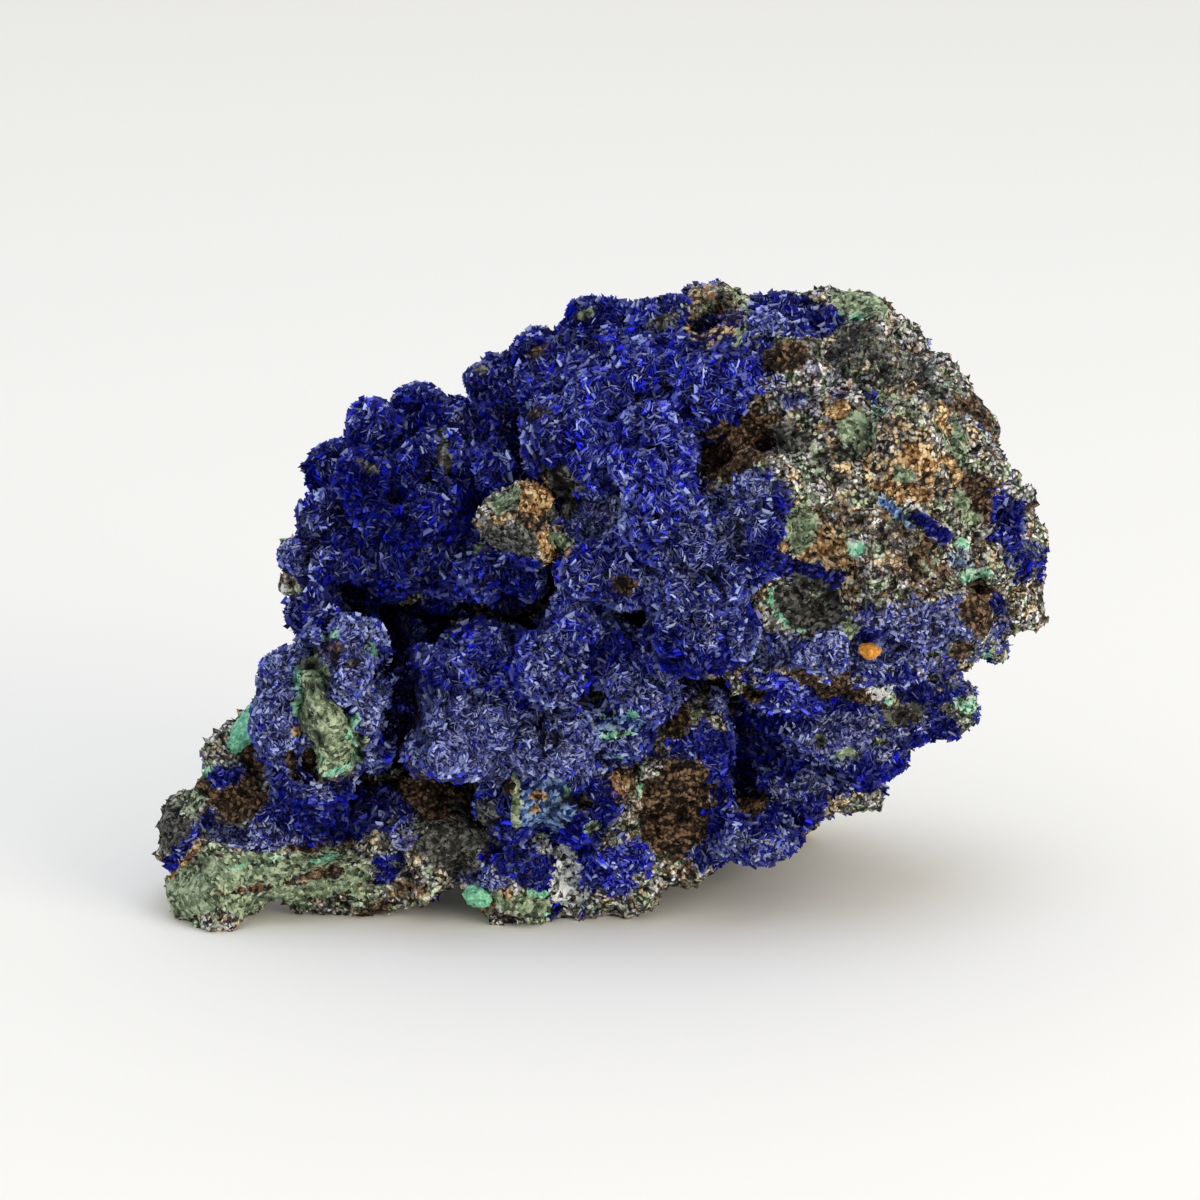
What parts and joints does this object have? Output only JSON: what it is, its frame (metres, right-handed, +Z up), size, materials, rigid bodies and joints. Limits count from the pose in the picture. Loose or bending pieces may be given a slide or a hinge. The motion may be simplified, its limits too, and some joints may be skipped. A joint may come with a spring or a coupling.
{
  "type": "azurite specimen",
  "caption": "Azurite specimen: rounded velvety blue crystal lobes grown on brown host rock, with raised malachite and limonite pieces, resting on its own feet.",
  "frame": {"origin": "under the middle of the specimen's box, on the surface that it rests on", "axes": "+Z up; +X from the thin end to the thick end; +Y away from the show side"},
  "size_m": [0.1466, 0.0792, 0.1041],
  "materials": {
    "host_rock": "rough, iron stained, dull",
    "azurite": "velvety, of fine upright crystal blades",
    "malachite": "matt to silky",
    "limonite": "earthy, dull"
  },
  "bodies": {
    "root": {"host_rock": "host_rock", "azurite_crust": "azurite", "malachite_slab": "malachite", "malachite_nodule": "malachite", "limonite_chip": "limonite"}
  },
  "joints": []
}
